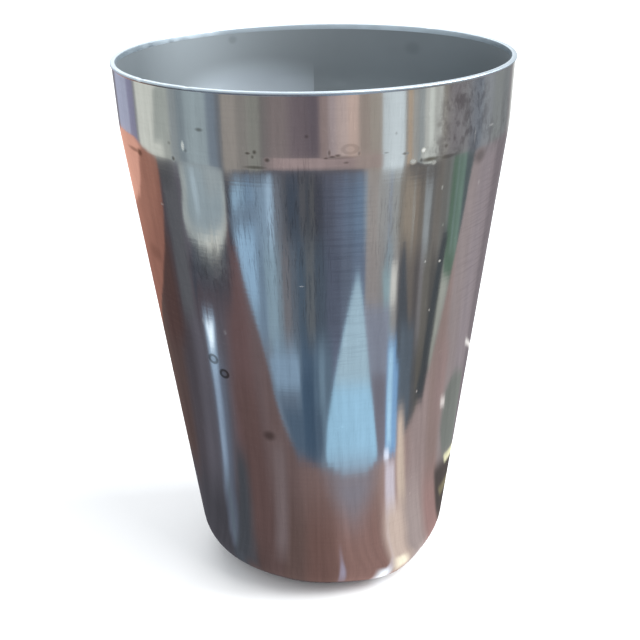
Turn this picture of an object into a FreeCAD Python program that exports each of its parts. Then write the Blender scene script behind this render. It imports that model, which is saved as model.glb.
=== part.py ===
import FreeCAD, Part
import os

import Sketcher

# A deep drawn cup in one sheet of steel.
#
# The section is drawn from the base up: a shallow panel pressed up inside a flat ring that the cup stands
# on, a round punch corner, a long tapered wall, a soft shoulder left by the last draw, and a steeper band
# that ends in a trimmed lip. The sheet keeps one thickness, so the inside is the outside set in by it.
#
# Frame: millimetres, +Z up, the origin at the middle of the plane that the cup stands on.

PARTS_FOLDER = "parts"

# Driving dimensions: alias, value, what it sets.
SIZES = [
    ("rim_diameter", 90.0, "outside of the lip"),
    ("cup_height", 125.0, "standing plane to the top of the lip"),
    ("sheet_thickness", 0.8, "wall, corner and base alike"),
    ("lip_overhang", 0.3, "how far the lip stands proud of the band"),
    ("lip_height", 0.7, "top of the lip to where it runs out on the band"),
    ("lip_land", 0.4, "upright part of the lip's outer face"),
    ("lip_outer_break", 0.25, "deburred edge, outside top of the lip"),
    ("lip_inner_break", 0.2, "deburred edge, inside top of the lip"),
    ("band_height", 14.0, "top of the lip to the top of the shoulder"),
    ("band_taper_deg", 2.9, "degrees from upright"),
    ("shoulder_height", 3.8, "height of the shoulder"),
    ("shoulder_drop", 0.62, "how far the shoulder steps in on the radius"),
    ("shoulder_blend", 8.0, "radius where the band turns into the shoulder"),
    ("wall_taper_deg", 7.65, "degrees from upright"),
    ("punch_corner", 12.5, "outside radius between wall and base"),
    ("standing_ring", 3.2, "width of the flat ring that the cup stands on"),
    ("panel_rise", 0.8, "how far the panel in the middle of the base is pressed up"),
    ("panel_ramp", 3.0, "width of the slope between the standing ring and the panel"),
]

# Slopes of the section's straight stretches, in degrees from upright.
BASE_SLOPE = "90"
RAMP_SLOPE = "(90 + atan(Sizes.panel_rise / Sizes.panel_ramp) / 1deg)"
WALL_SLOPE = "Sizes.wall_taper_deg"
SHOULDER_SLOPE = "(atan(Sizes.shoulder_drop / Sizes.shoulder_height) / 1deg)"
BAND_SLOPE = "Sizes.band_taper_deg"

# Where those stretches meet on the outside, as expressions on the sheet.
BAND_TOP = "(Sizes.rim_diameter / 2 - Sizes.lip_overhang)"
BAND_FOOT = f"({BAND_TOP} - Sizes.band_height * tan({BAND_SLOPE}))"
BAND_FOOT_HEIGHT = "(Sizes.cup_height - Sizes.band_height)"
WALL_TOP = f"({BAND_FOOT} - Sizes.shoulder_drop)"
WALL_TOP_HEIGHT = f"({BAND_FOOT_HEIGHT} - Sizes.shoulder_height)"
WALL_FOOT = f"({WALL_TOP} - {WALL_TOP_HEIGHT} * tan({WALL_SLOPE}))"
FLAT_EDGE = f"({WALL_FOOT} - Sizes.punch_corner * tan(45 - {WALL_SLOPE} / 2))"
RING_INNER = f"({FLAT_EDGE} - Sizes.standing_ring)"
PANEL_EDGE = f"({RING_INNER} - Sizes.panel_ramp)"

NEAR = 0.01  # how close an edge must lie to the place it is looked for


def make_sheet(doc):
    sheet = doc.addObject("Spreadsheet::Sheet", "Sizes")
    for row, (alias, value, meaning) in enumerate(SIZES, start=1):
        sheet.set(f"A{row}", alias)
        sheet.set(f"B{row}", str(value))
        sheet.set(f"C{row}", meaning)
        sheet.setAlias(f"B{row}", alias)
    doc.recompute()
    return sheet


def value_of(sheet, expression):
    """The number that an expression on the sheet comes to, for first guesses and for finding edges."""
    return float(sheet.evalExpression(expression))


def upright_sketch(body, name):
    """A sketch on the body's own XZ plane, so that its V axis is the cup's axis."""
    sketch = body.newObject("Sketcher::SketchObject", name)
    plane = next(f for f in body.Origin.OriginFeatures if f.Role == "XZ_Plane")
    sketch.AttachmentSupport = [(plane, "")]
    sketch.MapMode = "FlatFace"
    return sketch


def tie(sheet, sketch, geometry, end, name, radius, height):
    """Holds one point of a sketch at a radius and a height."""
    for kind, label, expression in (("DistanceX", "radius", radius), ("DistanceY", "height", height)):
        if expression == "0":
            axis = -2 if kind == "DistanceX" else -1
            sketch.addConstraint(Sketcher.Constraint("PointOnObject", geometry, end, axis))
            continue
        value = value_of(sheet, expression)
        index = sketch.addConstraint(Sketcher.Constraint(kind, -1, 1, geometry, end, value))
        sketch.renameConstraint(index, f"{name}_{label}")
        sketch.setExpression(f"Constraints.{name}_{label}", expression)


def place(sheet, radius, height):
    return FreeCAD.Vector(value_of(sheet, radius), value_of(sheet, height), 0)


def line_chain(sheet, sketch, corners):
    """Lines from corner to corner, each corner (name, radius, height) tied to the sheet."""
    points = [place(sheet, radius, height) for _, radius, height in corners]
    for start, end in zip(points, points[1:]):
        sketch.addGeometry(Part.LineSegment(start, end), False)
    last_line = len(points) - 2
    for line in range(last_line):
        sketch.addConstraint(Sketcher.Constraint("Coincident", line, 2, line + 1, 1))
    for number, (name, radius, height) in enumerate(corners):
        line, end = (number, 1) if number <= last_line else (last_line, 2)
        tie(sheet, sketch, line, end, name, radius, height)
    return last_line


def close_chain(sketch, last_line):
    """One more line, from the end of the chain back to its start."""
    end = sketch.Geometry[last_line].EndPoint
    closing = sketch.addGeometry(Part.LineSegment(end, sketch.Geometry[0].StartPoint), False)
    sketch.addConstraint(Sketcher.Constraint("Coincident", last_line, 2, closing, 1))
    sketch.addConstraint(Sketcher.Constraint("Coincident", closing, 2, 0, 1))


def blend_corner(sheet, sketch, line, name, radius):
    """Rounds the corner at the end of a line, and keeps the corner itself as the tied point."""
    sketch.fillet(line, 2, value_of(sheet, radius), True, True)
    arc = max(
        number for number, piece in enumerate(sketch.Geometry) if isinstance(piece, Part.ArcOfCircle)
    )
    index = sketch.addConstraint(Sketcher.Constraint("Radius", arc, value_of(sheet, radius)))
    sketch.renameConstraint(index, name)
    sketch.setExpression(f"Constraints.{name}", radius)


def set_in(radius, height, slope_below, slope_above, inset):
    """The corner that two stretches make once both are set in from the outside."""
    share = f"{inset} / (1 + cos({slope_above} - {slope_below}))"
    inner_radius = f"{radius} - {share} * (cos({slope_below}) + cos({slope_above}))"
    inner_height = f"{height} + {share} * (sin({slope_below}) + sin({slope_above}))"
    return inner_radius, inner_height


def drawn_outline(sheet, body, name, inset):
    """Half of the cup's section filled to the axis, its surface set in from the outside."""
    sketch = upright_sketch(body, name)
    wall_top = set_in(WALL_TOP, WALL_TOP_HEIGHT, WALL_SLOPE, SHOULDER_SLOPE, inset)
    band_foot = set_in(BAND_FOOT, BAND_FOOT_HEIGHT, SHOULDER_SLOPE, BAND_SLOPE, inset)
    last_line = line_chain(
        sheet,
        sketch,
        [
            ("panel_middle", "0", f"Sizes.panel_rise + {inset}"),
            ("panel_edge", *set_in(PANEL_EDGE, "Sizes.panel_rise", BASE_SLOPE, RAMP_SLOPE, inset)),
            ("ring_inner", *set_in(RING_INNER, "0", RAMP_SLOPE, BASE_SLOPE, inset)),
            ("wall_foot", *set_in(WALL_FOOT, "0", BASE_SLOPE, WALL_SLOPE, inset)),
            ("wall_top", *wall_top),
            ("band_foot", *band_foot),
            ("band_top", f"{BAND_TOP} - {inset} / cos({BAND_SLOPE})", "Sizes.cup_height"),
            ("mouth_middle", "0", "Sizes.cup_height"),
        ],
    )
    close_chain(sketch, last_line)
    ring, shoulder = 2, 4
    blend_corner(sheet, sketch, ring, "punch_corner", f"Sizes.punch_corner - {inset}")
    blend_corner(sheet, sketch, shoulder, "shoulder_blend", f"Sizes.shoulder_blend - {inset}")
    return sketch


def lip_outline(sheet, body, name):
    """The section of the bead that the trimming die leaves, rooted in the middle of the sheet."""
    sketch = upright_sketch(body, name)
    root = f"({BAND_TOP} - Sizes.sheet_thickness / 2)"
    run_out = f"({BAND_TOP} - Sizes.lip_height * tan({BAND_SLOPE}))"
    foot = "Sizes.cup_height - Sizes.lip_height"
    last_line = line_chain(
        sheet,
        sketch,
        [
            ("root_foot", root, foot),
            ("run_out", run_out, foot),
            ("land_foot", "Sizes.rim_diameter / 2", "Sizes.cup_height - Sizes.lip_land"),
            ("land_top", "Sizes.rim_diameter / 2", "Sizes.cup_height"),
            ("root_top", root, "Sizes.cup_height"),
        ],
    )
    close_chain(sketch, last_line)
    return sketch


def turn(body, kind, sketch, name):
    """A full turn of a sketch about the cup's axis."""
    feature = body.newObject(kind, name)
    feature.Profile = sketch
    feature.ReferenceAxis = (sketch, ["V_Axis"])
    feature.Angle = 360
    sketch.Visibility = False
    body.Document.recompute()
    return feature


def circle_edge(shape, radius, height):
    """The name of the edge that runs round the axis at this radius and height."""
    for number, edge in enumerate(shape.Edges, start=1):
        if edge.Degenerated or not isinstance(edge.Curve, Part.Circle):
            continue
        circle = edge.Curve
        if abs(circle.Radius - radius) < NEAR and abs(circle.Center.z - height) < NEAR:
            return f"Edge{number}"
    raise ValueError(f"no edge at radius {radius:.3f}, height {height:.3f}")


def break_edge(sheet, body, name, before, radius, height):
    """Chamfers the edge at a radius and height by the size that has the chamfer's name."""
    edge = circle_edge(before.Shape, value_of(sheet, radius), value_of(sheet, height))
    chamfer = body.newObject("PartDesign::Chamfer", name)
    chamfer.Base = (before, [edge])
    chamfer.setExpression("Size", f"Sizes.{name}")
    body.Document.recompute()
    return chamfer


def make_cup(doc, sheet):
    body = doc.addObject("PartDesign::Body", "DrawnCup")
    body.Label = "drawn_cup"
    doc.recompute()
    outside = drawn_outline(sheet, body, "outside_outline", "0")
    turn(body, "PartDesign::Revolution", outside, "drawn_shape")
    inside = drawn_outline(sheet, body, "inside_outline", "Sizes.sheet_thickness")
    turn(body, "PartDesign::Groove", inside, "drawn_inside")
    lip = lip_outline(sheet, body, "lip_outline")
    shape = turn(body, "PartDesign::Revolution", lip, "trimmed_lip")
    inside_rim = f"{BAND_TOP} - Sizes.sheet_thickness / cos({BAND_SLOPE})"
    for name, radius in (("lip_outer_break", "Sizes.rim_diameter / 2"), ("lip_inner_break", inside_rim)):
        shape = break_edge(sheet, body, name, shape, radius, "Sizes.cup_height")
    body.Tip = shape
    doc.recompute()
    return body


def check(doc, sub_parts):
    for thing in doc.Objects:
        if "Invalid" in thing.State or "Error" in thing.State:
            raise RuntimeError(f"{thing.Label} failed: {thing.State}")
    for sub_part in sub_parts:
        shape = sub_part.Shape
        if shape.isNull() or not shape.isValid():
            raise RuntimeError(f"{sub_part.Label} has no valid shape")


def main():
    doc = FreeCAD.newDocument("DrawnCup")
    sheet = make_sheet(doc)
    sub_parts = [make_cup(doc, sheet)]
    check(doc, sub_parts)
    os.makedirs(PARTS_FOLDER, exist_ok=True)
    for sub_part in sub_parts:
        shape = sub_part.Shape
        shape.exportStep(os.path.join(PARTS_FOLDER, f"{sub_part.Label}.step"))
        print(sub_part.Label, "solids", len(shape.Solids), "volume", round(shape.Volume, 1))


main()
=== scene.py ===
import math

import bmesh
import bpy
import numpy as np
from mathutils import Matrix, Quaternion, Vector, noise


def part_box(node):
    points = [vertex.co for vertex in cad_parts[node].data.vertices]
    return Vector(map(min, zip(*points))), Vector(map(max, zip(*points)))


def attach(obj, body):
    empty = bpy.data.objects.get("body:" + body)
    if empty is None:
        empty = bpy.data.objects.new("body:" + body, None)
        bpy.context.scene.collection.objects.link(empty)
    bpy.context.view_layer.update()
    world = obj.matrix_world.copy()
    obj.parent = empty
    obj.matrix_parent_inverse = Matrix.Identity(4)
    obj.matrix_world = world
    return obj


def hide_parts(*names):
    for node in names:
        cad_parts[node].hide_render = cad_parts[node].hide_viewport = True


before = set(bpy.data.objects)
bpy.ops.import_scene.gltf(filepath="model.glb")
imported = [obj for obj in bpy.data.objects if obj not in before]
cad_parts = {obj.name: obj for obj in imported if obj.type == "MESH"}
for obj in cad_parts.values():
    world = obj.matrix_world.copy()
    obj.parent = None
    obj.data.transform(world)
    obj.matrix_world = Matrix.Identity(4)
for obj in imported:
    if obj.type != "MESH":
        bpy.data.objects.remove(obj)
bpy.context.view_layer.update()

# A deep drawn steel cup, worn by use, on a pale floor.
# Metres, +Z up, the origin in the middle of the plane that the cup stands on, -Y the front.
# Azimuths are in degrees: 0 at the front, growing to the right as seen from there.

mm = 0.001
cupLow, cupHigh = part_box("drawn_cup")


def azimuthOf(place):
    return math.degrees(math.atan2(place.x, -place.y))


def smoothStep(low, high, value):
    share = np.clip((value - low) / (high - low), 0, 1)
    return share * share * (3 - 2 * share)


def linear(shade):
    # a screen colour, 0 to 255, as the light that shows it
    share = np.array(shade, float) / 255
    return np.where(share <= 0.04045, share / 12.92, ((share + 0.055) / 1.055) ** 2.4)


def addNode(tree, kind, inputs=None, **settings):
    node = tree.nodes.new(kind)
    for name, value in settings.items():
        setattr(node, name, value)
    for socket, value in (inputs or {}).items():
        if isinstance(value, bpy.types.NodeSocket):
            tree.links.new(value, node.inputs[socket])
        else:
            node.inputs[socket].default_value = value
    return node


def meshPiece(name, bm, materials):
    mesh = bpy.data.meshes.new(name)
    bm.to_mesh(mesh)
    bm.free()
    for material in materials:
        mesh.materials.append(material)
    piece = bpy.data.objects.new(name, mesh)
    bpy.context.scene.collection.objects.link(piece)
    return piece


# The cup's section, from the base up. The sheet keeps one thickness.
cupShape = {
    "sheet": 0.8 * mm,
    "panelRise": 0.8 * mm, "panelRamp": 3.0 * mm, "standingRing": 3.2 * mm,
    "punchCorner": 12.5 * mm,
    "wallSlope": 7.71,  # degrees from upright
    "shoulderHeight": 3.8 * mm, "shoulderDrop": 0.51 * mm, "shoulderBlend": 1.6 * mm,
    "bandHeight": 14.2 * mm, "bandSlope": 2.9,
    "lipOverhang": 0.3 * mm, "lipHeight": 0.75 * mm, "lipLand": 0.5 * mm,
    "lipOuterRound": 0.3 * mm, "lipInnerRound": 0.2 * mm,
    "ringsApart": 1.1 * mm,  # along the section, between two rings of the mesh
    "turnSteps": 264,
}


def cupCorners(shape, inset):
    # corner places and how far a rounding reaches along the lines from each
    wall = math.tan(math.radians(shape["wallSlope"]))
    band = math.tan(math.radians(shape["bandSlope"]))
    height = cupHigh.z
    bandTop = cupHigh.x - shape["lipOverhang"]
    bandFoot = bandTop - shape["bandHeight"] * band
    wallTop = bandFoot - shape["shoulderDrop"]
    wallTopHeight = height - shape["bandHeight"] - shape["shoulderHeight"]
    wallFoot = wallTop - wallTopHeight * wall
    cornerReach = math.tan(math.radians(45 - shape["wallSlope"] / 2))
    flatEdge = wallFoot - shape["punchCorner"] * cornerReach
    ringInner = flatEdge - shape["standingRing"]
    side = inset / math.cos(math.radians(shape["wallSlope"]))
    return {
        "panelMiddle": (0, shape["panelRise"] + inset, 0),
        "panelEdge": (ringInner - shape["panelRamp"], shape["panelRise"] + inset, 0.8 * mm),
        "ringInner": (ringInner, inset, 0.8 * mm),
        "flatEdge": (flatEdge + inset * 0.1, inset, 0),
        "wallFoot": (wallFoot - side + inset * wall, inset, (shape["punchCorner"] - inset) * cornerReach),
        "wallTop": (wallTop - side, wallTopHeight, shape["shoulderBlend"]),
        "bandFoot": (bandFoot - side, height - shape["bandHeight"], shape["shoulderBlend"]),
        "bandTop": (bandTop - inset / math.cos(math.radians(shape["bandSlope"])), height, 0),
    }


def roundCorner(bm, place, reach, segments):
    corner = min(bm.verts, key=lambda v: (v.co - place).length)
    bmesh.ops.bevel(
        bm, geom=[corner], offset=reach, offset_type="OFFSET", segments=segments,
        profile=0.5, affect="VERTICES", material=-1,
    )


def buildCup(shape):
    outside = cupCorners(shape, 0)
    inside = cupCorners(shape, shape["sheet"])
    lip = cupHigh.x
    top = cupHigh.z
    runOut = outside["bandTop"][0] - shape["lipHeight"] * math.tan(math.radians(shape["bandSlope"]))
    upOutside = [outside[k] for k in list(outside)[:-1]]
    lipFoot = top - shape["lipHeight"]
    overLip = [
        (runOut, lipFoot - 0.08 * mm, 0),  # keeps the shading of the band from running into the lip
        (runOut, lipFoot, 0),
        (lip, top - shape["lipLand"], 0.1 * mm),
        (lip, top, shape["lipOuterRound"]),
        (inside["bandTop"][0], top, shape["lipInnerRound"]),
    ]
    downInside = [inside[k] for k in list(inside)[:-1]][::-1]
    corners = upOutside + overLip + downInside
    bm = bmesh.new()
    line = [bm.verts.new((radius, 0, height)) for radius, height, _ in corners]
    for pair in zip(line, line[1:]):
        bm.edges.new(pair)
    for radius, height, reach in corners:
        if reach:
            roundCorner(bm, Vector((radius, 0, height)), reach, 14 if reach > 5 * mm else 6)
    for edge in list(bm.edges):
        cuts = int(edge.calc_length() / shape["ringsApart"])
        if cuts:
            bmesh.ops.subdivide_edges(bm, edges=[edge], cuts=cuts)
    bmesh.ops.spin(
        bm, geom=bm.verts[:] + bm.edges[:], cent=(0, 0, 0), axis=(0, 0, 1),
        angle=math.tau, steps=shape["turnSteps"], use_merge=True,
    )
    bmesh.ops.remove_doubles(bm, verts=bm.verts[:], dist=0.01 * mm)
    bmesh.ops.recalc_face_normals(bm, faces=bm.faces[:])
    return bm


def paintSides(bm, shape):
    # material 0 outside, 1 the lip, 2 inside
    lipFoot = cupHigh.z - shape["lipHeight"] - 0.01 * mm
    for face in bm.faces:
        centre = face.calc_center_median()
        outwards = face.normal.dot(Vector((centre.x, centre.y, 0)))
        upright = abs(face.normal.z) < 0.7
        isInside = outwards < 0 if upright else face.normal.z > 0
        face.material_index = 1 if centre.z > lipFoot else 2 if isInside else 0
        face.smooth = True


# Dents and nicks: azimuth, height, half width and depth in mm. Waves are the slow unevenness of the draw.
wear = {
    "waveDepth": 0.010 * mm, "waveLength": 18 * mm,
    "dents": [
        (30.8, 110.6, 2.0, 0.07), (-37.0, 112.9, 1.2, 0.03), (52.0, 108.0, 1.6, 0.03),
        (146.0, 96.0, 4.0, 0.10), (-152.0, 70.0, 5.0, 0.08), (171.0, 109.0, 2.0, 0.08),
    ],
    "footPushes": [(36, 17, 1.9), (-32, 24, -0.8)],  # azimuth, half width in degrees, outwards in mm
    "lipNicks": [(-52, 1.0, 0.12), (-34, 0.8, 0.08), (-144, 1.0, 0.14), (43, 0.5, 0.12), (139, 1.0, 0.10)],
}


def wearCup(bm, marks):
    top = cupHigh.z
    for vert in bm.verts:
        azimuth, height = azimuthOf(vert.co), vert.co.z
        radius = math.hypot(vert.co.x, vert.co.y)
        if radius < 17 * mm:
            continue
        outwards = Vector((vert.co.x, vert.co.y, 0)) / radius
        atFoot = float(smoothStep(17 * mm, 23 * mm, radius) * (1 - smoothStep(2 * mm, 17 * mm, height)))
        for centre, half, push in marks["footPushes"]:
            off = ((azimuth - centre + 180) % 360 - 180) / half
            vert.co += outwards * push * mm * atFoot * math.exp(-off * off)
        free = float(smoothStep(0, 12 * mm, height) * (1 - smoothStep(top - 6 * mm, top - 1 * mm, height)))
        swirl = Vector((vert.co.x, vert.co.y, height * 0.25)) / marks["waveLength"]
        inwards = marks["waveDepth"] * noise.noise(swirl) * free
        for centre, middle, half, depth in marks["dents"]:
            across = math.radians((azimuth - centre + 180) % 360 - 180) * radius
            far = math.hypot(across, height - middle * mm) / (half * mm)
            if far < 1.6:
                hollow = math.exp(-3 * far * far)
                raisedEdge = 0.25 * math.exp(-8 * (far - 1) ** 2)
                inwards += depth * mm * (hollow - raisedEdge) * 0.9
        vert.co -= outwards * max(inwards, -0.02 * mm)
        if height > top - 0.5 * mm:
            for centre, half, depth in marks["lipNicks"]:
                across = math.radians((azimuth - centre + 180) % 360 - 180) * radius / (half * mm)
                if abs(across) < 1:
                    vert.co.z -= depth * mm * (1 - across * across)


print("shell")
shell = buildCup(cupShape)
paintSides(shell, cupShape)
wearCup(shell, wear)


# Finishes
steelTone = 0.62  # how much light bare steel sends back


def surfacePlace(tree):
    # azimuth in degrees and height in mm, as a flat map of the cup's side
    place = addNode(tree, "ShaderNodeTexCoord").outputs["Object"]
    parts = addNode(tree, "ShaderNodeSeparateXYZ", {0: place})
    front = addNode(tree, "ShaderNodeMath", {0: parts.outputs["Y"], 1: -1.0}, operation="MULTIPLY")
    turn = addNode(tree, "ShaderNodeMath", {0: parts.outputs["X"], 1: front.outputs[0]}, operation="ARCTAN2")
    azimuth = addNode(tree, "ShaderNodeMath", {0: turn.outputs[0], 1: math.degrees(1)}, operation="MULTIPLY")
    height = addNode(tree, "ShaderNodeMath", {0: parts.outputs["Z"], 1: 1 / mm}, operation="MULTIPLY")
    side = addNode(tree, "ShaderNodeCombineXYZ", {0: azimuth.outputs[0], 1: height.outputs[0]})
    return place, side.outputs[0]


def rangeOf(tree, value, fromLow, fromHigh, toLow, toHigh):
    node = addNode(
        tree, "ShaderNodeMapRange",
        {"Value": value, "From Min": fromLow, "From Max": fromHigh, "To Min": toLow, "To Max": toHigh},
        interpolation_type="SMOOTHSTEP",
    )
    return node.outputs["Result"]


def sumOf(tree, first, second, operation="ADD"):
    return addNode(tree, "ShaderNodeMath", {0: first, 1: second}, operation=operation).outputs[0]


def absolute(tree, value):
    return addNode(tree, "ShaderNodeMath", {0: value}, operation="ABSOLUTE").outputs[0]


def mixed(tree, share, first, second):
    node = addNode(tree, "ShaderNodeMix", {0: share, 6: first, 7: second}, data_type="RGBA")
    return node.outputs[2]


def spread(tree, side, centre, half):
    # 0 at a mark's centre, 1 at its edge
    moved = addNode(tree, "ShaderNodeVectorMath", {0: side, 1: (*centre, 0)}, operation="SUBTRACT")
    fit = (1 / half[0], 1 / half[1], 0)
    scaled = addNode(tree, "ShaderNodeVectorMath", {0: moved.outputs[0], 1: fit}, operation="MULTIPLY")
    return addNode(tree, "ShaderNodeVectorMath", {0: scaled.outputs[0]}, operation="LENGTH").outputs["Value"]


def stretchedNoise(tree, place, scale, detail=3.0, roughness=0.5):
    fitted = addNode(tree, "ShaderNodeVectorMath", {0: place, 1: scale}, operation="MULTIPLY")
    return addNode(
        tree, "ShaderNodeTexNoise",
        {"Vector": fitted.outputs[0], "Scale": 1.0, "Detail": detail, "Roughness": roughness},
    ).outputs["Fac"]


def newFinish(name):
    finish = bpy.data.materials.new(name)
    finish.use_nodes = True
    tree = finish.node_tree
    tree.nodes.clear()
    shader = addNode(tree, "ShaderNodeBsdfPrincipled", {"Metallic": 1.0})
    addNode(tree, "ShaderNodeOutputMaterial", {"Surface": shader.outputs[0]})
    return finish, tree, shader


def marksOf(tree, side, marks, soft=0.35):
    # 1 on every mark of a list of (azimuth, height, half width in degrees, half height in mm, strength)
    found = None
    for azimuth, height, halfAcross, halfUp, strength in marks:
        far = spread(tree, side, (azimuth, height), (halfAcross, halfUp))
        share = rangeOf(tree, far, 1 - soft, 1 + soft, strength, 0.0)
        found = share if found is None else sumOf(tree, found, share, "MAXIMUM")
    return found


def ringsOf(tree, side, marks):
    # the dried outline of a drop
    found = None
    for azimuth, height, halfAcross, halfUp, strength in marks:
        far = spread(tree, side, (azimuth, height), (halfAcross, halfUp))
        off = absolute(tree, sumOf(tree, far, 0.72, "SUBTRACT"))
        share = rangeOf(tree, off, 0.12, 0.42, strength, 0.0)
        share = sumOf(tree, share, rangeOf(tree, far, 0.5, 1.0, strength * 0.35, 0.0), "MAXIMUM")
        found = share if found is None else sumOf(tree, found, share, "MAXIMUM")
    return found


def hairLines(tree, side, scale, width, seed):
    # thin lines where a stretched noise crosses its middle value
    shifted = addNode(tree, "ShaderNodeVectorMath", {0: side, 1: (seed, seed, 0)}, operation="ADD").outputs[0]
    off = absolute(tree, sumOf(tree, stretchedNoise(tree, shifted, scale, 2.0), 0.5, "SUBTRACT"))
    return rangeOf(tree, off, 0.0, width, 1.0, 0.0)


# Marks on the metal, with painted highlights and a painted shade among them: azimuth, height in mm, half
# width in degrees, half height in mm, strength.
polish = {
    "roughness": 0.075, "cloudyRoughness": 0.03,
    "dropRings": [
        (-38.2, 63.9, 2.2, 1.3, 0.65), (-34.2, 60.8, 2.1, 1.2, 0.8), (8.8, 113.6, 2.4, 1.1, 0.22),
        (133.0, 77.0, 2.2, 1.5, 0.6), (-160.0, 30.0, 2.4, 1.6, 0.5),
    ],
    "spots": [
        (-18.9, 46.7, 2.0, 1.1, 0.6), (-62.1, 85.4, 4.0, 1.7, 0.35), (52.0, 107.6, 2.6, 1.5, 0.5),
        (-61.5, 109.0, 4.0, 0.45, 0.7), (-57.8, 108.9, 1.4, 0.7, 0.8), (-46.0, 106.0, 3.0, 3.0, 0.2),
        (-15.8, 110.0, 2.4, 0.3, 0.6), (6.0, 112.0, 4.0, 0.30, 0.35), (-31.1, 116.7, 1.0, 0.35, 0.6),
        # painted shade: the spot at 31.5 degrees and 109.7 mm is the first dent's dark crescent
        (31.5, 109.7, 2.6, 0.45, 0.85), (37.5, 109.6, 2.4, 0.4, 0.5),
        (-126.0, 52.0, 3.0, 2.0, 0.4), (164.0, 40.0, 2.6, 1.6, 0.5), (-98.0, 101.0, 2.0, 1.2, 0.5),
    ],
    "pits": [
        (-17.5, 112.8, 0.55, 0.22, 1.0), (-15.6, 113.1, 0.42, 0.35, 1.0), (-16.2, 112.1, 0.3, 0.3, 0.8),
        (-12.4, 111.6, 0.55, 0.35, 1.0), (-41.0, 109.8, 0.45, 0.40, 1.0), (-2.1, 116.4, 0.4, 0.3, 0.6),
        (3.4, 113.0, 0.3, 0.45, 0.7), (4.2, 112.2, 0.7, 0.18, 0.9), (5.6, 112.4, 0.6, 0.2, 0.9),
        (2.6, 112.0, 0.4, 0.16, 0.7), (7.8, 110.9, 0.6, 0.2, 0.7), (11.2, 112.6, 0.3, 0.3, 0.5),
        (18.3, 112.3, 0.6, 0.14, 0.6), (23.7, 111.7, 0.7, 0.22, 0.8), (36.6, 111.9, 0.5, 0.35, 0.7),
        (33.9, 116.5, 0.7, 0.5, 0.45), (-36.2, 112.0, 0.4, 0.3, 0.5), (-42.0, 113.0, 0.5, 0.3, 0.5),
        (21.0, 116.0, 0.3, 0.3, 0.4), (28.5, 109.9, 0.35, 0.35, 0.7), (66.0, 113.0, 0.6, 0.5, 0.5),
        (102.0, 112.0, 0.5, 0.35, 0.9), (109.0, 111.3, 0.4, 0.3, 0.9), (-95.0, 112.4, 0.5, 0.3, 0.9),
        (-118.0, 111.0, 0.6, 0.3, 0.9), (150.0, 112.2, 0.5, 0.3, 0.9), (-171.0, 111.5, 0.6, 0.3, 0.9),
    ],
    "glints": [  # painted highlights: bright spots in the base colour, mostly along a dent's edge
        (-37.0, 112.9, 0.5, 0.9, 0.9), (29.2, 111.8, 0.7, 0.5, 1.0), (26.2, 109.8, 0.9, 0.55, 0.6),
        (32.8, 108.9, 0.7, 0.45, 0.55), (36.8, 103.0, 0.35, 0.5, 0.5), (38.8, 94.5, 0.35, 0.4, 0.4),
        (33.5, 87.0, 0.3, 0.3, 0.8), (39.3, 86.2, 0.45, 0.3, 0.9), (37.4, 75.0, 0.3, 0.3, 0.7),
        (-4.8, 84.3, 0.7, 0.16, 0.7), (-50.0, 98.6, 0.8, 0.25, 0.4), (27.9, 97.0, 0.25, 4.0, 0.35),
        (36.0, 55.0, 0.3, 0.4, 0.7), (48.0, 112.5, 0.3, 1.6, 0.25), (53.5, 101.5, 0.5, 0.5, 0.4),
        (56.5, 113.5, 1.2, 0.25, 0.4), (-40.0, 73.0, 0.5, 0.7, 0.3), (-31.3, 71.5, 0.7, 0.6, 0.3),
        (120.0, 97.0, 0.5, 0.4, 0.6), (-133.0, 88.0, 0.6, 0.3, 0.6), (177.0, 64.0, 0.4, 0.5, 0.5),
    ],
    "scuffs": [  # ragged dull places
        (44.0, 118.0, 9.5, 7.0, 1.0), (38.0, 112.0, 7.0, 2.6, 0.9), (52.0, 112.0, 7.0, 4.0, 0.7),
        (-34.0, 86.0, 8.0, 4.5, 0.5), (66.0, 112.0, 9.0, 7.0, 0.5), (128.0, 60.0, 26.0, 30.0, 0.4),
        (-140.0, 92.0, 22.0, 16.0, 0.4),
    ],
    "uprightCrackle": [  # where fine upright lines show
        (-17.0, 97.0, 8.0, 13.0, 1.0), (-5.0, 92.0, 9.0, 20.0, 1.0), (-33.0, 88.0, 9.0, 6.0, 0.9),
        (20.0, 97.0, 6.0, 11.0, 0.7), (-120.0, 80.0, 30.0, 25.0, 0.6), (140.0, 90.0, 25.0, 18.0, 0.6),
    ],
    "levelLines": [  # where the rings left by polishing show
        (8.0, 97.0, 6.5, 13.0, 1.0), (9.0, 72.0, 7.0, 12.0, 0.5), (64.0, 88.0, 14.0, 18.0, 0.9),
        (-58.0, 70.0, 14.0, 10.0, 0.4), (-150.0, 60.0, 25.0, 20.0, 0.5), (110.0, 75.0, 20.0, 30.0, 0.5),
    ],
}


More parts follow.
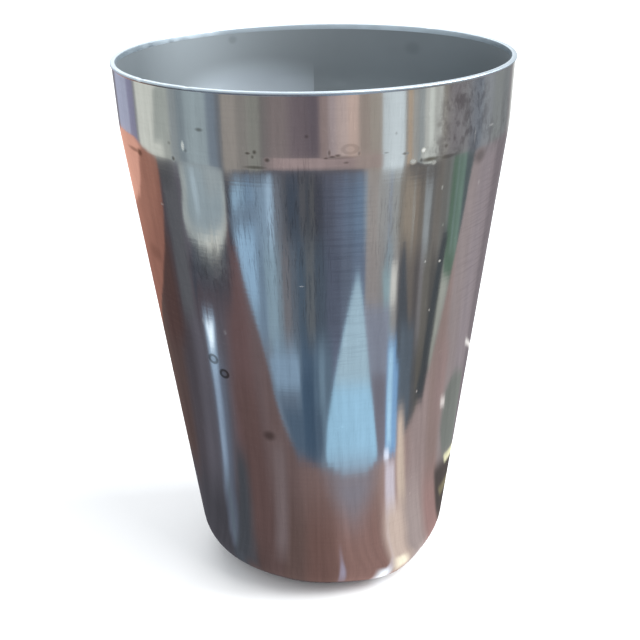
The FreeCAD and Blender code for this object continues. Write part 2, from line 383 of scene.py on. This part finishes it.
def polishedSteel():
    finish, tree, shader = newFinish("polishedSteel")
    place, side = surfacePlace(tree)
    tone = (steelTone, steelTone, steelTone * 1.01, 1)
    dull = (steelTone * 0.80, steelTone * 0.80, steelTone * 0.80, 1)
    dark = (0.10, 0.085, 0.07, 1)
    # white for the scratches and for the painted highlights of the glints
    scratchAndPaintedGlintWhite = (0.97, 0.97, 0.93, 1)
    cloud = stretchedNoise(tree, place, (70, 70, 30), 4.0)
    colour = mixed(tree, rangeOf(tree, cloud, 0.38, 0.72, 0.0, 0.45), tone, dull)
    smooth = polish["roughness"]
    roughness = rangeOf(tree, cloud, 0.35, 0.75, smooth, smooth + polish["cloudyRoughness"])

    # lines: upright crackle from the draw, level rings from polishing, both strongest where listed
    upright = stretchedNoise(tree, side, (1.5, 0.16, 1), 4.0, 0.7)
    level = stretchedNoise(tree, side, (0.05, 1.4, 1), 3.0, 0.7)
    uprightHere = sumOf(tree, marksOf(tree, side, polish["uprightCrackle"], 0.6), 0.18, "MAXIMUM")
    levelHere = sumOf(tree, marksOf(tree, side, polish["levelLines"], 0.6), 0.15, "MAXIMUM")
    uprightDark = sumOf(tree, rangeOf(tree, upright, 0.50, 0.66, 0.0, 0.9), uprightHere, "MULTIPLY")
    levelDark = sumOf(tree, rangeOf(tree, level, 0.45, 0.62, 0.0, 0.7), levelHere, "MULTIPLY")
    colour = mixed(tree, uprightDark, colour, (0.40, 0.40, 0.41, 1))
    colour = mixed(tree, levelDark, colour, (0.47, 0.47, 0.48, 1))

    # scuffed places are mottled, darker and less sharp
    grain = stretchedNoise(tree, place, (420, 420, 260), 5.0, 0.65)
    scuffed = marksOf(tree, side, polish["scuffs"], 0.45)
    mottled = sumOf(tree, scuffed, rangeOf(tree, grain, 0.42, 0.62, 0.0, 1.0), "MULTIPLY")
    colour = mixed(tree, sumOf(tree, mottled, 0.72, "MULTIPLY"), colour, (0.24, 0.22, 0.23, 1))
    roughness = sumOf(tree, roughness, sumOf(tree, scuffed, 0.10, "MULTIPLY"))

    # hair scratches over the scuffs, and a few everywhere
    crossing = hairLines(tree, side, (0.16, 0.22, 1), 0.005, 5.0)
    upwards = hairLines(tree, side, (0.5, 0.05, 1), 0.006, 40.0)
    scratched = sumOf(tree, crossing, upwards, "MAXIMUM")
    patchy = rangeOf(tree, stretchedNoise(tree, side, (0.09, 0.12, 1), 2.0), 0.50, 0.62, 0.0, 0.5)
    scratchedHere = sumOf(tree, scratched, sumOf(tree, scuffed, patchy, "MAXIMUM"), "MULTIPLY")
    colour = mixed(tree, sumOf(tree, scratchedHere, 0.30, "MULTIPLY"), colour, scratchAndPaintedGlintWhite)

    # dark spots, drop rings and pits; the spot under the first dent is painted shade
    colour = mixed(tree, marksOf(tree, side, polish["spots"], 0.7), colour, dark)
    colour = mixed(tree, ringsOf(tree, side, polish["dropRings"]), colour, dark)
    pitted = marksOf(tree, side, polish["pits"], 0.9)
    colour = mixed(tree, sumOf(tree, pitted, 0.75, "MULTIPLY"), colour, dark)
    # painted highlights: the glints are bright base colour, also made rougher
    paintedGlint = marksOf(tree, side, polish["glints"], 0.6)
    colour = mixed(tree, paintedGlint, colour, scratchAndPaintedGlintWhite)
    roughness = sumOf(tree, roughness, sumOf(tree, paintedGlint, 0.45, "MULTIPLY"))
    tree.links.new(colour, shader.inputs["Base Color"])
    tree.links.new(roughness, shader.inputs["Roughness"])

    # relief of the same lines and marks
    relief = stretchedNoise(tree, place, (4, 4, 1300), 2.0)
    relief = sumOf(tree, relief, sumOf(tree, uprightDark, 0.8, "MULTIPLY"))
    relief = sumOf(tree, relief, stretchedNoise(tree, place, (700, 700, 30), 2.0))
    relief = sumOf(tree, relief, sumOf(tree, mottled, 0.8, "MULTIPLY"))
    relief = sumOf(tree, relief, sumOf(tree, pitted, 3.0, "MULTIPLY"), "SUBTRACT")
    bump = addNode(tree, "ShaderNodeBump", {"Height": relief, "Distance": 0.003 * mm, "Strength": 1.0})
    tree.links.new(bump.outputs[0], shader.inputs["Normal"])
    return finish


def lipSteel():
    finish, tree, shader = newFinish("lipSteel")
    place, _ = surfacePlace(tree)
    patchy = stretchedNoise(tree, place, (300, 300, 300), 3.0)
    colour = mixed(tree, patchy, (0.56, 0.64, 0.70, 1), (0.46, 0.53, 0.58, 1))
    tree.links.new(colour, shader.inputs["Base Color"])
    tree.links.new(rangeOf(tree, patchy, 0.3, 0.7, 0.30, 0.42), shader.inputs["Roughness"])
    return finish


def insideSteel():
    finish, tree, shader = newFinish("insideSteel")
    place, side = surfacePlace(tree)
    cloud = stretchedNoise(tree, place, (40, 40, 30), 3.0)
    fine = stretchedNoise(tree, place, (60, 60, 700), 2.0)
    colour = mixed(tree, cloud, (0.31, 0.345, 0.365, 1), (0.27, 0.30, 0.32, 1))
    # painted light: a pale blue-white patch on the inner wall, back left, near the top
    paintedLightPatch = marksOf(tree, side, [(-158.0, 108.5, 24.0, 6.5, 0.42)], 0.5)
    colour = mixed(tree, paintedLightPatch, colour, (0.74, 0.82, 0.90, 1))
    stained = marksOf(tree, side, [(-152.2, 122.3, 1.4, 0.9, 0.30), (145.0, 119.8, 2.6, 1.4, 0.22)], 0.6)
    colour = mixed(tree, stained, colour, (0.12, 0.135, 0.14, 1))
    tree.links.new(colour, shader.inputs["Base Color"])
    tree.links.new(rangeOf(tree, cloud, 0.3, 0.7, 0.54, 0.62), shader.inputs["Roughness"])
    bump = addNode(tree, "ShaderNodeBump", {"Height": fine, "Distance": 0.004 * mm, "Strength": 1.0})
    tree.links.new(bump.outputs[0], shader.inputs["Normal"])
    return finish


print("finishes")
cup = meshPiece("drawnShell", shell, [polishedSteel(), lipSteel(), insideSteel()])
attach(cup, "root")
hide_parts("drawn_cup")


# Glowing cards of painted reflections: rings of colour laid round the cup, which only its polish sees.
# A belt lists (azimuth where a colour starts, colour, half the width of its soft edge).
# Inside the arch three belts lie one behind the other; outside it there are two.
cards = {
    "near": 5 * mm, "far": 1500 * mm, "rings": 210, "steps": 1000, "height": 0.3 * mm,
    "bandEdge": [  # azimuth, radius in mm where the band's colours begin, and half the width of that edge
        (-180, 520, 20), (-157, 485, 10), (-141, 455, 8), (-125, 420, 8), (-119, 372, 8), (-110, 318, 10),
        (-98, 290, 20), (-83, 274, 20), (-60, 256, 18), (-50, 238, 5), (-26, 235, 5), (0, 233, 5),
        (34, 236, 5),
        (48, 240, 6), (62, 258, 9), (83, 280, 12), (105, 305, 16), (126, 350, 20), (147, 415, 24),
        (180, 520, 30),
    ],
    "bandBelt": [  # seen in the band above the shoulder
        (-180, (180, 178, 172), 5), (-168, (110, 106, 110), 4), (-150, (150, 152, 168), 4),
        (-128, (122, 120, 140), 2), (-119, (128, 128, 126), 1), (-116.5, (190, 190, 176), 1.5),
        (-93, (150, 152, 142), 3), (-86, (132, 138, 136), 2), (-80, (118, 128, 130), 2),
        (-74, (138, 150, 150), 2), (-60, (108, 118, 126), 2), (-54, (96, 100, 104), 1),
        (-51, (136, 128, 118), 1.5), (-42, (124, 118, 110), 2), (-36, (124, 122, 112), 2),
        (-29, (104, 98, 94), 2), (-25, (118, 106, 102), 3), (-14, (102, 90, 92), 4), (-4, (92, 82, 86), 3),
        (2.5, (130, 112, 106), 1.5),
        (7, (150, 134, 130), 1.5), (11, (168, 148, 138), 1.5), (17, (184, 158, 142), 1.5),
        (23, (142, 128, 116), 1), (29, (150, 140, 126), 1.5), (36, (186, 194, 192), 0.7),
        (49, (130, 126, 118), 0.8), (50.5, (160, 140, 116), 0.8), (53.5, (142, 140, 132), 1),
        (57, (138, 142, 138), 1.5), (61, (168, 168, 158), 1), (64, (188, 190, 178), 0.8),
        (67, (158, 158, 148), 1), (70, (172, 172, 162), 0.8), (73, (124, 116, 104), 1),
        (77, (114, 108, 108), 2), (82, (114, 108, 108), 2), (88, (130, 127, 124), 3),
        (94, (104, 106, 110), 3), (100, (106, 112, 118), 2), (106, (128, 130, 130), 1),
        (118, (122, 124, 120), 4), (132, (112, 114, 112), 4), (144, (120, 116, 114), 3),
        (152, (176, 174, 166), 4),
    ],
    "upperBelt": [  # inside the arch, seen high on the wall
        (-180, (104, 98, 100), 4), (-52, (62, 62, 68), 1), (-48.5, (130, 160, 178), 1.2),
        (-41, (106, 132, 152), 1.5), (-35, (116, 138, 154), 2), (-28, (140, 164, 180), 1.5),
        (-24, (98, 102, 108), 0.9), (-19, (76, 78, 82), 1.5), (-16, (60, 68, 78), 1),
        (-9.5, (78, 78, 80), 1), (-6, (64, 68, 74), 1), (-3.5, (78, 78, 78), 1), (-1, (62, 64, 72), 0.8),
        (4, (80, 84, 96), 1.5), (10, (92, 100, 116), 2), (15, (94, 108, 126), 2), (21, (98, 118, 138), 2),
        (26.5, (124, 138, 148), 0.5), (28, (146, 138, 130), 0.7), (34.5, (144, 142, 136), 1),
        (38, (142, 142, 138), 1), (41, (126, 132, 138), 0.7), (43, (138, 138, 132), 1),
        (47.5, (122, 114, 102), 0.8), (50.5, (132, 120, 104), 1), (56.5, (148, 144, 134), 0.4),
        (57.5, (124, 112, 98), 0.5), (60.5, (108, 100, 90), 0.8), (64.3, (136, 140, 138), 0.7),
        (69, (98, 96, 92), 0.7), (71.5, (110, 104, 96), 1), (77, (106, 104, 98), 1.5),
        (81.5, (112, 116, 110), 0.8), (84, (86, 108, 90), 0.8), (88, (112, 132, 122), 0.6),
        (89.5, (92, 114, 98), 0.8), (91.3, (102, 124, 110), 0.6), (95, (78, 88, 88), 1),
    ],
    "middleBelt": [
        (-180, (100, 90, 92), 4), (-50, (98, 98, 106), 1.5), (-46, (122, 150, 168), 2),
        (-37, (102, 122, 138), 1.5), (-31, (120, 142, 152), 1.5), (-24, (108, 122, 130), 1),
        (-21, (104, 102, 104), 1), (-16, (84, 92, 100), 1.5), (-12, (68, 82, 94), 1.5),
        (-7, (88, 92, 94), 1.5), (-2, (68, 78, 88), 1), (5, (80, 86, 100), 2),
        (13, (88, 96, 110), 2), (20, (94, 106, 124), 2), (28, (140, 132, 126), 0.8),
        (36, (134, 130, 126), 2), (40, (120, 134, 138), 1), (45, (138, 134, 128), 1),
        (49, (76, 76, 78), 0.8), (54, (106, 98, 90), 1.5), (60, (84, 80, 78), 1.5),
        (64, (116, 112, 110), 0.8), (67, (100, 96, 88), 1.2), (72.5, (84, 82, 78), 1.5),
        (80, (112, 114, 104), 1), (83, (142, 142, 132), 1), (91, (96, 98, 94), 1),
    ],
    "lowerBelt": [
        (-180, (110, 100, 100), 4), (-40, (104, 112, 122), 2), (-29, (108, 130, 146), 2),
        (-14, (84, 102, 116), 1.5), (-11, (66, 86, 104), 1.2), (-4, (78, 98, 114), 1.2),
        (-0.5, (98, 120, 134), 0.8), (3, (84, 102, 116), 1), (8, (92, 98, 116), 2),
        (28, (120, 120, 130), 1.5),
        (44, (124, 164, 196), 0.8), (48.5, (92, 132, 170), 1), (52.5, (74, 88, 102), 1),
        (60, (84, 84, 84), 2), (66, (92, 88, 80), 1.5), (72, (66, 68, 68), 1.5),
        (77, (116, 116, 108), 1),
    ],
    "beltEdges": (184, 128),  # mm from the axis, between the upper, middle and lower belts
    "softBelts": (14, 10),
    "outerBelt": [  # outside the arch
        (-180, (120, 120, 122), 3), (-176, (84, 78, 78), 3), (-160, (84, 66, 60), 5), (-132, (78, 62, 58), 8),
        (-108, (72, 66, 70), 8), (-92, (86, 82, 88), 6), (-60, (100, 76, 74), 6),
        (-44, (100, 82, 80), 5), (-34, (100, 80, 76), 5), (-12, (118, 94, 88), 8),
        (8, (134, 110, 104), 8), (36, (150, 124, 114), 8), (62, (152, 132, 126), 6),
        (80, (142, 120, 112), 4), (95, (146, 132, 128), 4), (110, (138, 126, 126), 8),
        (124, (132, 120, 120), 4), (132, (110, 100, 101), 5), (150, (116, 108, 108), 5),
        (162, (170, 172, 174), 3), (169, (104, 104, 108), 2),
        (174, (150, 152, 156), 2),
    ],
    "footBelt": [  # outside the arch and close to the cup
        (-180, (128, 126, 124), 6), (-156, (70, 66, 70), 8), (-110, (64, 62, 66), 8),
        (-60, (60, 62, 66), 3), (-50, (82, 64, 60), 4), (-34, (90, 70, 66), 3),
        (-24, (92, 72, 66), 3), (-10, (106, 78, 70), 5), (8, (136, 102, 92), 6),
        (38, (150, 118, 108), 4), (54, (168, 150, 142), 5), (76, (156, 122, 114), 6),
        (96, (84, 72, 66), 6), (130, (120, 116, 112), 8), (160, (92, 90, 92), 6),
    ],
    "footEdge": 60, "softFoot": 14,
    "arch": [  # azimuth and radius in mm of the arch's edge
        (-62, 400), (-54, 260), (-51, 215), (-49, 190), (-45, 165), (-40, 145), (-35, 125), (-30, 105),
        (-25, 93), (-20, 85), (-10, 78), (0, 74), (10, 72), (20, 71.5), (30, 72), (40, 74), (50, 77),
        (57, 82), (65, 90), (72, 100), (80, 118), (85, 137), (90, 162), (94, 188), (98, 225), (103, 300),
        (108, 400),
    ],
    # Fields lie over the belts. Each has its left and right edge as (radius in mm, azimuth), near end first,
    # then the soft edge in degrees, the soft ends in mm, how ragged the ends are in mm, and its colour.
    "fields": [
        # the warm finger on the far left
        ([(135, -130), (220, -125)], [(135, -100), (220, -104)], 8, 14, 0, (76, 56, 52)),
        ([(158, -174), (480, -176)],
         [(158, -150), (185, -122), (208, -110), (235, -104), (280, -101), (300, -102),
          (330, -108), (372, -117),
          (420, -125), (480, -150)], 1.5, 4, 0, (134, 88, 72)),
        ([(240, -170), (480, -170)], [(240, -112), (280, -104), (300, -104), (345, -112), (480, -150)],
         4, 26, 0, (144, 96, 78)),
        ([(291, -134), (297, -141), (305, -148), (315, -155), (326, -162), (336, -174), (480, -176)],
         [(291, -134), (300, -128), (322, -124), (336, -120), (352, -117), (372, -118),
          (420, -125), (480, -150)],
         3, 7, 0, (196, 138, 114)),
        ([(150, -99), (330, -101)], [(150, -85), (330, -88)], 2.5, 12, 0, (82, 82, 84)),
        # the pale lobe, its dark fringe and the bright line under it
        ([(148, -86), (190, -86)], [(148, -54), (190, -52)], 2.5, 12, 5, (76, 68, 72)),
        ([(166, -84), (192, -84)], [(166, -56), (192, -54)], 2, 9, 9, (62, 66, 74)),
        ([(172, -76), (190, -77)], [(172, -66), (190, -62)], 2, 7, 12, (52, 56, 62)),
        ([(187, -66), (192, -73), (199, -79), (208, -83.5), (222, -85), (245, -82), (400, -88)],
         [(187, -60), (191, -56), (203, -53), (222, -51.5), (400, -50)], 1.2, 2, 5, (156, 162, 156)),
        ([(187, -66), (192, -74), (200, -76)],
         [(187, -60), (191, -56), (200, -53)], 1.2, 3, 5, (186, 188, 176)),
        ([(188, -66), (196, -69)], [(188, -60), (196, -58)], 1.5, 3, 5, (212, 208, 190)),
        ([(197, -66), (203, -73), (210, -78), (222, -81), (245, -78), (400, -86)],
         [(197, -61), (202, -56), (213, -54), (400, -52)], 2.2, 5, 4, (134, 147, 149)),
        ([(216, -73), (254, -75)], [(216, -70), (254, -71.5)], 1.2, 8, 3, (162, 178, 182)),
        ([(228, -64), (262, -66)], [(228, -52), (262, -54)], 4, 10, 3, (142, 150, 148)),
        ([(186, -52), (300, -52)], [(186, -48.5), (300, -49.2)], 0.8, 6, 0, (60, 60, 68)),
        ([(34, -59), (42, -67), (60, -75), (122, -78)], [(34, -49), (42, -57), (60, -64), (122, -66)],
         3, 10, 0, (88, 94, 106)),
        ([(34, -56), (42, -64), (60, -71.5), (70, -73)], [(34, -53), (42, -61), (60, -68.5), (70, -69)],
         1.5, 8, 0, (88, 98, 106)),
        ([(68, -72.5), (80, -74), (126, -76)],
         [(68, -68.7), (80, -69), (126, -71)], 1.5, 10, 0, (112, 128, 146)),
        ([(66, -74), (122, -76.5)], [(66, -70), (122, -72)], 1.3, 14, 0, (132, 150, 168)),
        ([(112, -77), (146, -79)], [(112, -71), (146, -69.5)], 1.6, 7, 5, (138, 160, 178)),
        ([(128, -75.5), (134, -76), (142, -78)],
         [(128, -72.5), (134, -71.8), (142, -71)], 1.3, 3.5, 2, (234, 250, 255)),
        ([(28, -58), (78, -62)], [(28, -40), (78, -50)], 3, 8, 0, (66, 68, 72)),
        ([(40, -46), (110, -60)], [(40, -30), (110, -44)], 5, 14, 0, (91, 69, 65)),
        ([(40, -30), (84, -33)], [(40, -22), (84, -24)], 3, 8, 0, (108, 92, 90)),
        # inside the arch, on the left
        ([(197, -50), (213, -50)], [(197, -36), (213, -30)], 3, 5, 4, (98, 114, 128)),
        ([(150, -41), (165, -44), (196, -48.5)], [(150, -36), (196, -36)], 2, 7, 4, (132, 164, 186)),
        ([(84, -18), (93, -24), (107, -30)], [(84, -12), (107, -14)], 2.5, 6, 0, (88, 102, 116)),
        ([(107, -28), (122, -32)], [(107, -12), (122, -13)], 1.2, 2.5, 0, (116, 140, 158)),
        ([(78, -16), (98, -25)], [(78, 2), (98, 1)], 2, 5, 0, (70, 88, 104)),
        ([(78, -10), (112, -12)], [(78, -3), (112, -4.5)], 1.2, 6, 3, (58, 78, 96)),
        # the wedge
        ([(71, 14), (73, 9), (75.5, 4), (78, 3), (90, 4), (162, 22.5)],
         [(71, 30), (73, 34), (75.5, 37.5), (78, 38), (162, 24.5)],
         0.9, 1.2, 0, (142, 186, 208)),
        ([(108, 9), (162, 22.5)], [(108, 33), (162, 24.5)], 0.6, 4, 0, (150, 176, 186)),
        ([(112, 32), (148, 27)], [(112, 44), (148, 44)], 1, 1.5, 0, (126, 130, 142)),
        ([(77, 39), (112, 32)], [(77, 43), (112, 44)], 0.8, 1, 0, (112, 108, 116)),
        # to the right of it
        ([(77, 44), (128, 44)], [(77, 52), (128, 52)], 0.8, 4, 2, (112, 154, 190)),
        ([(80, 44.8), (124, 44.8)], [(80, 48.2), (124, 48.2)], 0.6, 3, 2, (158, 200, 222)),
        ([(150, 40), (168, 38)], [(150, 44.5), (168, 44.5)], 1.5, 4, 2, (130, 154, 156)),
        ([(148, 44), (172, 44)], [(148, 47.5), (172, 48.5)], 0.9, 4, 0, (196, 192, 180)),
        ([(118, 50), (188, 51.5)], [(118, 60), (188, 52.5)], 0.8, 4, 0, (72, 76, 80)),
        ([(118, 60), (190, 64)], [(118, 61), (190, 65)], 1.5, 8, 0, (88, 82, 80)),
        ([(92, 52.5), (138, 52.5)], [(92, 62), (138, 63)], 1.5, 6, 3, (86, 96, 104)),
        ([(98, 66), (115, 71), (204, 81)], [(98, 74), (115, 77.5), (204, 85.5)], 0.9, 4, 2, (64, 68, 70)),
        ([(116, 77.5), (172, 84)], [(116, 79.5), (172, 90)], 0.8, 2, 0, (152, 153, 140)),
        ([(172, 84), (190, 84)], [(172, 91), (190, 94)], 1.2, 3, 0, (88, 110, 92)),
        ([(56, 53), (94, 53)], [(56, 60), (94, 58)], 2.2, 7, 0, (200, 177, 155)),
        # below the arch
        ([(30, 32), (37, 38), (48, 43), (73, 44)], [(30, 39), (37, 45), (48, 51), (73, 51)],
         1.5, 3, 0, (198, 186, 190)),
        ([(74, 43), (78, 43)], [(74, 46.5), (78, 46.5)], 0.8, 1, 0, (226, 232, 244)),
        ([(54, 14), (73, 3)], [(54, 27), (73, 38)], 9, 11, 0, (128, 122, 128)),
        ([(26, 8), (42, 9.6)], [(26, 12), (42, 11.2)], 1, 6, 0, (154, 142, 156)),
        ([(88, 86), (130, 87)], [(88, 98), (130, 100)], 4, 12, 0, (148, 124, 118)),
        # the greenish patch and the glints on the right
        ([(64, 104), (80, 98), (100, 100), (113, 112)], [(64, 132), (113, 132)], 3, 6, 0, (114, 116, 108)),
        ([(38, 96), (62, 92)], [(38, 140), (62, 140)], 3, 4, 0, (78, 70, 66)),
        ([(60, 112), (64.5, 108)], [(60, 140), (64.5, 140)], 2, 0.8, 0, (222, 216, 170)),
        ([(131.5, 128), (135, 128)], [(131.5, 160), (135, 160)], 2, 0.8, 0, (224, 216, 206)),
        ([(93, 95), (97, 95)], [(93, 101), (97, 101)], 1, 1, 0, (226, 214, 204)),
        ([(45, 104), (50, 100)], [(45, 140), (50, 140)], 2, 1.5, 0, (120, 110, 84)),
        # close to the foot: first a dark ring, a painted shadow standing for the floor's shade under the cup,
        # which the cards hide from the polish
        ([(19, -150), (24, -150)], [(19, 150), (24, 150)], 8, 1.5, 0, (66, 58, 58)),
        ([(30, 38), (56, 43)], [(30, 60), (56, 57)], 5, 6, 0, (200, 176, 158)),
        ([(25, 29), (32, 30)], [(25, 38), (32, 37)], 3.5, 2.5, 0, (250, 254, 255)),
        ([(29, 41), (40, 43)], [(29, 54), (40, 52)], 4, 3.5, 0, (255, 240, 206)),
        # the shoulder's fine lines
        ([(231, -50), (243, -50)], [(231, 26), (243, 26)], 2, 3, 3, (78, 78, 84)),
        ([(243, -25), (254, -25)], [(243, 24), (254, 24)], 3, 4, 3, (96, 90, 92)),
        ([(254, -24), (330, -24)], [(254, 24), (330, 24)], 6, 9, 3, (146, 126, 121)),
        ([(246, 22), (350, 22)], [(246, 36), (350, 36)], 2, 9, 0, (150, 132, 122)),
        ([(236, 50), (262, 52)], [(236, 70), (262, 76)], 3, 8, 6, (92, 88, 84)),
        # the far left of the band
        ([(480, -150), (640, -150)], [(480, -133), (640, -131)], 3, 14, 0, (146, 148, 164)),
        ([(400, -101), (600, -95)], [(400, -88), (600, -86)], 2, 12, 0, (148, 152, 142)),
    ],
    "wallFieldsWithin": 230,
    "greying": 0.14,  # how far all colours are drawn towards grey
    "light": (1.08, 1.12, 1.19),  # the whole room is a little cold
    "streaks": (0.05, 0.6), "mottle": 0.04,  # how strong and how many degrees wide; slow unevenness
}


def beltColour(belt, azimuth):
    shade = np.broadcast_to(linear(belt[0][1]), azimuth.shape + (3,)).copy()
    for start, colour, soft in belt[1:]:
        share = smoothStep(start - soft, start + soft, azimuth)[..., None]
        shade += (linear(colour) - shade) * share
    return shade


def wander(position, step, seed):
    # a smooth random line between -1 and 1 with a new value at each step
    values = np.random.default_rng(seed).uniform(-1, 1, int(720 / step))
    place = (np.asarray(position, float) + 360) / step
    low = np.floor(place).astype(int) % len(values)
    share = smoothStep(0, 1, place - np.floor(place))
    return values[low] * (1 - share) + values[(low + 1) % len(values)] * share


def fieldShare(azimuth, radius, field):
    leftEdge, rightEdge, soft, softEnds, ragged, _ = field
    left = np.interp(radius, *zip(*leftEdge))
    right = np.interp(radius, *zip(*rightEdge))
    across = smoothStep(left - soft, left + soft, azimuth)
    across = across * (1 - smoothStep(right - soft, right + soft, azimuth))
    near, far = leftEdge[0][0], leftEdge[-1][0]
    radius = radius + ragged * wander(azimuth, 0.8, 7)
    ends = smoothStep(near - softEnds, near + softEnds, radius)
    return across * ends * (1 - smoothStep(far - softEnds, far + softEnds, radius))


def laid(shade, over, share):
    return shade + (over - shade) * share[..., None]


def cardColours(azimuth, radius):
    archAzimuths, archRadii = zip(*cards["arch"])
    archEdge = np.interp(azimuth, archAzimuths, archRadii)
    softArch = 1.2 + 0.015 * radius
    inArch = smoothStep(archEdge - softArch, archEdge + softArch, radius)
    inArch = inArch * (azimuth > archAzimuths[0]) * (azimuth < archAzimuths[-1])
    outer = beltColour(cards["outerBelt"], azimuth)
    footEdge, softFoot = cards["footEdge"], cards["softFoot"]
    nearFoot = 1 - smoothStep(footEdge - softFoot, footEdge + softFoot, radius)
    outer = laid(outer, beltColour(cards["footBelt"], azimuth), nearFoot)
    upperEdge, lowerEdge = cards["beltEdges"]
    softUpper, softLower = cards["softBelts"]
    inner = beltColour(cards["upperBelt"], azimuth)
    belowUpper = 1 - smoothStep(upperEdge - softUpper, upperEdge + softUpper, radius)
    inner = laid(inner, beltColour(cards["middleBelt"], azimuth), belowUpper)
    belowMiddle = 1 - smoothStep(lowerEdge - softLower, lowerEdge + softLower, radius)
    inner = laid(inner, beltColour(cards["lowerBelt"], azimuth), belowMiddle)
    shade = laid(outer, inner, inArch)
    edgeAzimuths, edgeRadii, edgeSofts = zip(*cards["bandEdge"])
    bandEdge = np.interp(azimuth, edgeAzimuths, edgeRadii)
    softBand = np.interp(azimuth, edgeAzimuths, edgeSofts)
    isBand = smoothStep(bandEdge - softBand, bandEdge + softBand, radius)
    shade = laid(shade, beltColour(cards["bandBelt"], azimuth), isBand)
    for field in cards["fields"]:
        inField = fieldShare(azimuth, radius, field)
        if field[0][0][0] < cards["wallFieldsWithin"]:  # a field of the wall ends where the band begins
            inField = inField * (1 - isBand)
        shade = laid(shade, linear(field[-1]), inField)
    strength, width = cards["streaks"]
    uneven = 1 + strength * wander(azimuth, width, 3) + strength * wander(azimuth, width * 4, 4)
    uneven += cards["mottle"] * wander(azimuth * 3 + radius * 0.7, 9, 5)
    grey = shade.mean(axis=-1)
    shade = laid(shade, grey[..., None], np.full_like(grey, cards["greying"]))
    return shade * uneven[..., None] * cards["light"]


def glowFinish(name, strength):
    finish = bpy.data.materials.new(name)
    finish.use_nodes = True
    finish.cycles.emission_sampling = "NONE"
    tree = finish.node_tree
    tree.nodes.clear()
    glow = addNode(tree, "ShaderNodeEmission", {"Strength": strength})
    painted = addNode(tree, "ShaderNodeAttribute", attribute_name="cardColour")
    tree.links.new(painted.outputs["Color"], glow.inputs["Color"])
    addNode(tree, "ShaderNodeOutputMaterial", {"Surface": glow.outputs[0]})
    return finish


def onlyReflected(piece):
    piece.visible_camera = False
    piece.visible_diffuse = False
    piece.visible_shadow = False
    piece.visible_transmission = False
    piece.visible_volume_scatter = False


def buildCards():
    # a grid whose columns become azimuths and whose rows become rings
    bm = bmesh.new()
    bmesh.ops.create_grid(bm, x_segments=cards["steps"], y_segments=cards["rings"], size=0.5)
    piece = meshPiece("paintedReflectionCards", bm, [glowFinish("cardGlow", 1 / steelTone)])
    places = np.zeros(len(piece.data.vertices) * 3)
    piece.data.vertices.foreach_get("co", places)
    places = places.reshape(-1, 3)
    azimuth = places[:, 0] * 360
    radius = cards["near"] * (cards["far"] / cards["near"]) ** (places[:, 1] + 0.5)
    places[:, 0] = radius * np.sin(np.radians(azimuth))
    places[:, 1] = -radius * np.cos(np.radians(azimuth))
    places[:, 2] = cards["height"]
    piece.data.vertices.foreach_set("co", places.ravel())
    painted = piece.data.color_attributes.new("cardColour", "FLOAT_COLOR", "POINT")
    shade = np.ones((len(places), 4))
    shade[:, :3] = cardColours(azimuth, radius / mm)
    painted.data.foreach_set("color", shade.ravel())
    piece.data.update()
    onlyReflected(piece)
    return piece


def flatCard(name, half, height, finish):
    bm = bmesh.new()
    bmesh.ops.create_grid(bm, x_segments=1, y_segments=1, size=half)
    bmesh.ops.translate(bm, verts=bm.verts[:], vec=(0, 0, height))
    return meshPiece(name, bm, [finish])


def floorFinish():
    finish = bpy.data.materials.new("paleFloor")
    finish.use_nodes = True
    shader = finish.node_tree.nodes["Principled BSDF"]
    shader.inputs["Base Color"].default_value = (0.94, 0.94, 0.94, 1)
    shader.inputs["Roughness"].default_value = 0.9
    return finish


print("stage")
floor = flatCard("floor", 4.0, -0.02 * mm, floorFinish())
paintedReflections = buildCards()

# name, place, what it points at, width and height of the soft light, watts, colour
lights = [
    ("keyLight", (0.55, -0.45, 1.1), (0, 0, 0.08), 0.6, 7.0, (1.0, 0.99, 0.98)),
    ("rightLight", (0.95, -0.05, 0.6), (0, 0, 0.1), 0.6, 12.0, (0.95, 0.98, 1.0)),
    ("backLight", (-0.2, 0.9, 0.9), (0, 0, 0.1), 0.8, 4.0, (0.98, 0.99, 1.0)),
]


def addLight(name, place, target, size, watts, colour):
    lamp = bpy.data.lights.new(name, "AREA")
    lamp.size = size
    lamp.energy = watts
    lamp.color = colour
    lightObject = bpy.data.objects.new(name, lamp)
    lightObject.location = place
    lightObject.rotation_mode = "QUATERNION"
    lightObject.rotation_quaternion = (Vector(target) - Vector(place)).to_track_quat("-Z", "Y")
    bpy.context.scene.collection.objects.link(lightObject)


for light in lights:
    addLight(*light)

world = bpy.data.worlds.new("softRoom")
bpy.context.scene.world = world
world.use_nodes = True
world.node_tree.nodes["Background"].inputs["Color"].default_value = (0.94, 0.97, 1.0, 1)
world.node_tree.nodes["Background"].inputs["Strength"].default_value = 1.0
bpy.context.scene.view_settings.view_transform = "Standard"

# The camera looks down on the cup from the front, a little turned about its own axis.
camera = {
    "lens": 68.18, "place": (0, -273.37 * mm, 170.07 * mm), "target": (0.31 * mm, -0.645 * mm, 60.98 * mm),
    "roll": -1.134,
}
cameraData = bpy.data.cameras.new("camera")
cameraData.lens = camera["lens"]
cameraData.clip_start = 0.01
cameraObject = bpy.data.objects.new("camera", cameraData)
cameraObject.location = camera["place"]
cameraObject.rotation_mode = "QUATERNION"
aim = (Vector(camera["target"]) - Vector(camera["place"])).to_track_quat("-Z", "Y")
cameraObject.rotation_quaternion = aim @ Quaternion((0, 0, 1), math.radians(camera["roll"]))
bpy.context.scene.collection.objects.link(cameraObject)
bpy.context.scene.camera = cameraObject

print("done")
